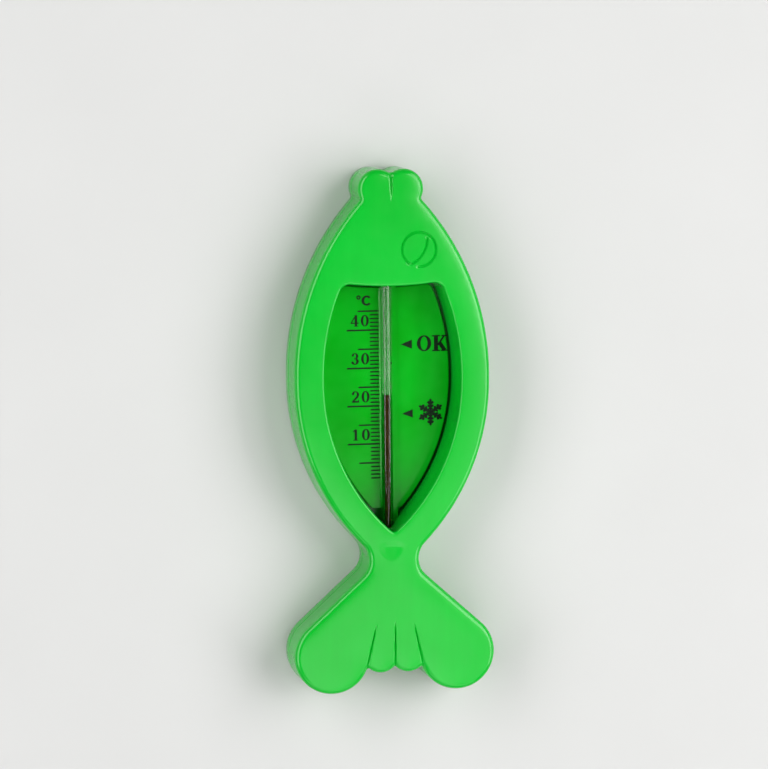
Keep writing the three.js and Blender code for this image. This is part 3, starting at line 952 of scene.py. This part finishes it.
# Plain printed figures of height 1, about their middle line, with the base line at 0.
FIGURES = {
    "0": bowl(0, 0.5, (0.32, 0.51), (0.12, 0.43)),
    "1": bar(-0.1, 0.03, 0.1, 0.98) + stroke(-0.22, 0.8, 0, 0.94, 0.09)
         + bar(-0.21, 0, 0.21, 0.06),
    "2": bowl(0, 0.7, (0.3, 0.31), (0.11, 0.24), -35, 165)
         + stroke(0.19, 0.55, -0.22, 0.1, 0.18, 0.12) + bar(-0.27, 0, 0.27, 0.15)
         + bar(0.2, 0, 0.29, 0.24) + dot(-0.19, 0.74, 0.085),
    "3": bowl(-0.01, 0.74, (0.27, 0.27), (0.09, 0.2), -75, 155)
         + bowl(-0.01, 0.28, (0.31, 0.29), (0.1, 0.21), -155, 85)
         + bar(-0.1, 0.49, 0.06, 0.55) + dot(-0.18, 0.8, 0.08) + dot(-0.2, 0.21, 0.09),
    "4": stroke(0.1, 0.98, -0.29, 0.31, 0.08) + bar(-0.32, 0.25, 0.33, 0.35)
         + bar(0.0, 0.03, 0.2, 1.0) + bar(-0.05, 0, 0.29, 0.06),
    "C": bowl(0, 0.5, (0.44, 0.5), (0.2, 0.31), 38, 322),
    "degree": bowl(0, 0, (0.2, 0.2), (0.075, 0.075)),
    "O": bowl(0, 0.5, (0.5, 0.51), (0.24, 0.43)),
    "K": bar(-0.36, 0, -0.1, 1) + bar(-0.48, 0, 0.02, 0.08) + bar(-0.48, 0.92, 0.02, 1)
         + stroke(-0.12, 0.38, 0.3, 0.96, 0.11) + stroke(-0.04, 0.56, 0.33, 0.05, 0.25)
         + bar(0.12, 0.92, 0.46, 1) + bar(0.08, 0, 0.52, 0.08),
}


def placed(shapes, x, y, width, height):
    """A figure moved to its place and stretched to its size."""
    return [[(x + px * width, y + py * height) for px, py in shape] for shape in shapes]


def degree_marks():
    """The ticks and numbers from one degree up."""
    shapes = []
    for degree in range(1, LAST_DEGREE + 1):
        kind = "one"
        if degree % 5 == 0:
            kind = "five"
        if degree % 10 == 0:
            kind = "ten"
        y = ZERO_Y + degree * DEGREE
        half = TICK_THICKNESS[kind] / 2
        shapes += bar(TICK_LEFT[kind], y - half, TICK_RIGHT, y + half)
        if kind == "ten":
            width = DIGIT_WIDTH / FIGURE_WIDTH
            for figure, x in zip(str(degree), DIGIT_X):
                shapes += placed(FIGURES[figure], x, y + DIGIT_LIFT, width, DIGIT_HEIGHT)
    return shapes


def unit_mark():
    """The sign for degrees Celsius above the scale."""
    return placed(FIGURES["C"], *CELSIUS["C"]) + placed(FIGURES["degree"], *CELSIUS["degree"])


def arrow(x, y, length, height):
    """A solid arrow head that points left to the tube."""
    return [[(x, y), (x + length, y - height / 2), (x + length, y + height / 2)]]


def comfort_mark():
    """The arrow and letters at the temperature of a comfortable bath."""
    letters = placed(FIGURES["O"], *COMFORT["O"]) + placed(FIGURES["K"], *COMFORT["K"])
    return arrow(*COMFORT["arrow"]) + letters


def snowflake(x, y, radius):
    """Six forked arms round a small star."""
    shapes = []
    for i in range(6):
        turn = math.radians(90 + 60 * i)
        out = Vector((math.cos(turn), math.sin(turn)))
        side = Vector((-out.y, out.x))
        centre = Vector((x, y))
        tip = centre + out * radius
        shapes += stroke(*centre, *tip, 0.95)
        for start, length, thick in ((0.38, 0.3, 0.85), (0.66, 0.3, 1)):
            fork = centre + out * radius * start
            for hand in (-1, 1):
                end = fork + (out * 0.62 + side * 0.78 * hand) * radius * length
                shapes += stroke(*fork, *end, thick)
        a = centre + out * radius * 0.34
        turn += math.radians(60)
        b = centre + Vector((math.cos(turn), math.sin(turn))) * radius * 0.34
        shapes += stroke(*a, *b, 0.55)
        shapes += dot(*tip, 0.42)
    return shapes


def cold_mark():
    """The arrow and snowflake at the cold end."""
    return arrow(*COLD["arrow"]) + snowflake(*COLD["snowflake"])


def printed(name, shapes):
    """Flat shapes joined into one thin layer of ink on the plate."""
    flat, faces = [], []
    for shape in shapes:
        area = sum(a[0] * b[1] - b[0] * a[1] for a, b in zip(shape, shape[1:] + shape[:1]))
        loop = shape if area > 0 else shape[::-1]
        faces.append(list(range(len(flat), len(flat) + len(loop))))
        flat += [Vector(p) for p in loop]
    points, _, triangles, _, _, owners = delaunay_2d_cdt(flat, [], faces, 0, 1e-5, True)
    kept = [t for t, owner in zip(triangles, owners) if owner]
    used = sorted({i for t in kept for i in t})
    number = {i: n for n, i in enumerate(used)}
    count = len(used)
    skin = Skin()
    for height in (PLATE_TOP, PLATE_TOP + PRINT_THICKNESS):
        skin.ring([(points[i].x, points[i].y, height) for i in used])
    sides = {}
    for t in kept:
        a, b, c = (number[i] for i in t)
        skin.faces.append((a + count, b + count, c + count))
        skin.faces.append((c, b, a))
        for edge in ((a, b), (b, c), (c, a)):
            if edge[::-1] in sides:
                del sides[edge[::-1]]
            else:
                sides[edge] = True
    for a, b in sides:
        skin.faces.append((a, b, b + count, a + count))
    return skin.piece(name, INK, FISH, "plate")


# ---------------------------------------------------------------- tube

def round_end(radius, at, direction, steps=10):
    """Pairs of radius and distance over a round end, from the axis outwards."""
    turns = [math.pi / 2 * i / steps for i in range(steps + 1)]
    return [(radius * math.sin(t), at + direction * radius * (1 - math.cos(t))) for t in turns]


def glass_stem():
    """The capillary tube with its bore and softened ends."""
    bottom, top = low("glass_stem").y, high("glass_stem").y
    length = top - bottom
    rim = TUBE_RADIUS - GLASS_LIP
    profile = [(BORE_RADIUS, 0), (rim, 0), (TUBE_RADIUS, GLASS_LIP), (TUBE_RADIUS, length - GLASS_LIP),
               (rim, length), (BORE_RADIUS, length)]
    return turned("glass_stem_skin", profile, bottom, GLASS, FISH, "glass", ["glass_stem"], closed=True)


def glass_tip():
    """The sealed round end of the glass."""
    bottom, top = low("glass_tip").y, high("glass_tip").y
    length = top - bottom
    profile = [(0, 0), (TUBE_RADIUS, 0)] + round_end(TUBE_RADIUS, length, -1)[::-1]
    return turned("glass_tip_skin", profile, bottom, GLASS, FISH, "glass", ["glass_tip"])


def glass_bulb():
    """The thin-walled bulb, which narrows to the stem over its shoulder."""
    bottom, top = low("glass_bulb").y, high("glass_bulb").y
    length = top - bottom
    radius = (high("glass_bulb").x - low("glass_bulb").x) / 2
    steps = SHOULDER_STEPS
    ease = [smooth(np.array(t / steps)).item() for t in range(steps + 1)]
    hollow = radius - BULB_WALL
    at = [length - SHOULDER * (1 - i / steps) for i in range(steps + 1)]
    shoulder = [(radius + (TUBE_RADIUS - radius) * e, y) for e, y in zip(ease, at)]
    inner = [(hollow + (BORE_RADIUS - hollow) * e, y) for e, y in zip(ease, at)]
    profile = (round_end(radius, 0, 1) + shoulder + inner[::-1]
               + round_end(hollow, BULB_WALL, 1)[::-1])
    return turned("glass_bulb_skin", profile, bottom, GLASS, FISH, "glass", ["glass_bulb"])


def spirit_reservoir():
    """The liquid in the bulb."""
    bottom, top = low("spirit_reservoir").y, high("spirit_reservoir").y
    length = top - bottom
    radius = (high("spirit_reservoir").x - low("spirit_reservoir").x) / 2
    profile = round_end(radius, 0, 1) + [(radius, length - 1.6), (radius * 0.8, length - 0.7), (0, length)]
    return turned("spirit_reservoir_skin", profile, bottom, SPIRIT, FISH, "spirit", ["spirit_reservoir"])


def spirit_column():
    """The liquid in the bore. It stays at the bulb and stretches to the reading."""
    radius = BORE_RADIUS + WETTED
    length = COLUMN_TOP - COLUMN_BOTTOM
    shares = np.linspace(0, 1, 60)
    profile = [(0, 0)] + [(radius, length * s) for s in shares] + [(0, length)]
    piece = turned("spirit_column_skin", profile, COLUMN_BOTTOM, SPIRIT, None, "spirit", ["spirit_column"])
    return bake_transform(piece)


def spirit_meniscus():
    """The top of the column, with its hollow surface."""
    radius = BORE_RADIUS + WETTED
    top = high("spirit_meniscus").y - COLUMN_TOP
    steps = 8
    hollow = [(radius * math.cos(math.pi / 2 * i / steps), top - DISH * math.sin(math.pi / 2 * i / steps))
              for i in range(1, steps)]
    profile = [(0, 0), (radius, 0), (radius, top)] + hollow + [(0, top - DISH)]
    return turned("spirit_meniscus_skin", profile, COLUMN_TOP, SPIRIT, READING, "spirit",
                  ["spirit_meniscus"])


def bush(node):
    """A rubber ring with rounded edges."""
    bottom, top = low(node).y, high(node).y
    length = top - bottom
    radius = (high(node).x - low(node).x) / 2
    hole = TUBE_RADIUS + GAP
    lip = BUSH_LIP
    side = radius - lip
    upper = length - lip
    profile = [(hole, 0), (side, 0)]
    profile += [(side + lip * math.sin(t), lip - lip * math.cos(t)) for t in np.linspace(0.3, 1.57, 5)]
    profile += [(side + lip * math.cos(t), upper + lip * math.sin(t)) for t in np.linspace(0, 1.57, 6)]
    profile += [(hole, length)]
    return turned(node + "_skin", profile, bottom, RUBBER, FISH, "bush", [node], closed=True)


def reference_dot():
    """The small dab of paint that fixes the tube's place against the scale."""
    skin = Skin()
    angles = np.radians(np.linspace(*PAINT_DAB["turn"], 7))
    heights = np.linspace(*PAINT_DAB["y"], 5)
    for radius in (TUBE_RADIUS + PAINT_DAB["from"], TUBE_RADIUS + PAINT_DAB["to"]):
        skin.ring([(TUBE.x + radius * math.sin(a), y, TUBE.z + radius * math.cos(a))
                   for y in heights for a in angles])
    wide, tall = len(angles), len(heights)
    count = wide * tall
    for row in range(tall - 1):
        for column in range(wide - 1):
            a = row * wide + column
            quad = (a, a + 1, a + wide + 1, a + wide)
            skin.faces.append(quad[::-1])
            skin.faces.append(tuple(i + count for i in quad))
    border = ([i for i in range(wide)] + [r * wide + wide - 1 for r in range(1, tall)]
              + [count - 2 - i for i in range(wide - 1)] + [r * wide for r in range(tall - 2, 0, -1)])
    for a, b in zip(border, border[1:] + border[:1]):
        skin.faces.append((a, b, b + count, a + count))
    return skin.piece("reference_dot", INK, FISH, "glass")


front_shell()
back_shell()
bulb_well()
coaming()
rails()
scale_plate()
printed("scale_print", degree_marks() + unit_mark())
printed("comfort_print", comfort_mark())
printed("cold_print", cold_mark())
glass_stem()
glass_tip()
glass_bulb()
spirit_reservoir()
spirit_column()
spirit_meniscus()
bush("upper_bush")
bush("lower_bush")
reference_dot()


# ---------------------------------------------------------------- floor, light and camera

def floor():
    """A plain pale floor under the fish."""
    mesh = bpy.data.meshes.new("floor")
    half = FLOOR_HALF
    under = -FLOOR_DROP
    corners = [(-half, -half, under), (half, -half, under), (half, half, under), (-half, half, under)]
    mesh.from_pydata(corners, [], [(0, 1, 2, 3)])
    mesh.materials.append(studio_paper())
    piece = bpy.data.objects.new("floor", mesh)
    bpy.context.scene.collection.objects.link(piece)


def panel(name, place, aim, width, height, power):
    """A soft rectangular light aimed at a point."""
    data = bpy.data.lights.new(name, "AREA")
    data.shape = "RECTANGLE"
    data.size = width
    data.size_y = height
    data.energy = power
    lamp = bpy.data.objects.new(name, data)
    bpy.context.scene.collection.objects.link(lamp)
    lamp.location = place
    lamp.rotation_mode = "QUATERNION"
    lamp.rotation_quaternion = (Vector(aim) - Vector(place)).to_track_quat("-Z", "Y")


def lighting():
    """A key, three softboxes, and two overhead sheets that the right side and the tail mirror."""
    world = bpy.data.worlds.new("studio")
    bpy.context.scene.world = world
    world.use_nodes = True
    sky = world.node_tree.nodes["Background"]
    sky.inputs["Color"].default_value = (0.95, 0.98, 1, 1)
    sky.inputs["Strength"].default_value = WORLD_STRENGTH
    centre = (0, 0, 0.01)
    panel("right_key", (0.82, 0.35, 1.5), centre, width=0.9, height=0.7, power=7)
    panel("right_box", (0.95, 0.15, 0.78), centre, width=1.7, height=0.55, power=11.5)
    panel("left_box", (-0.95, 0.2, 0.78), centre, width=1.9, height=0.6, power=13.5)
    panel("front_box", (0.0, -1.0, 0.8), centre, width=1.5, height=0.45, power=3.5)
    panel("right_sheet", (1.33, -0.3, 1.6), (1.33, -0.3, 0), width=1.8, height=1.6, power=8)
    panel("tail_sheet", (0.07, -0.73, 1.6), (0.07, -0.73, 0), width=0.62, height=1.0, power=3.2)


def camera():
    """A long lens, a little left of and above square-on to the face."""
    back = Vector((-math.sin(CAMERA_YAW) * math.cos(CAMERA_PITCH), math.sin(CAMERA_PITCH),
                   math.cos(CAMERA_YAW) * math.cos(CAMERA_PITCH)))
    up = (Vector((0, 1, 0)) - back * back.y).normalized()
    right = up.cross(back)
    turn = Matrix((right, up, back)).transposed() @ Matrix.Rotation(-CAMERA_ROLL, 3, "Z")
    data = bpy.data.cameras.new("camera")
    data.sensor_width = SENSOR
    data.lens = LENS
    seen = bpy.data.objects.new("camera", data)
    bpy.context.scene.collection.objects.link(seen)
    seen.matrix_world = Matrix.Translation(CAMERA_TARGET + back * CAMERA_DISTANCE) @ turn.to_4x4()
    bpy.context.scene.camera = seen


floor()
lighting()
camera()
bpy.context.scene.view_settings.view_transform = "Standard"
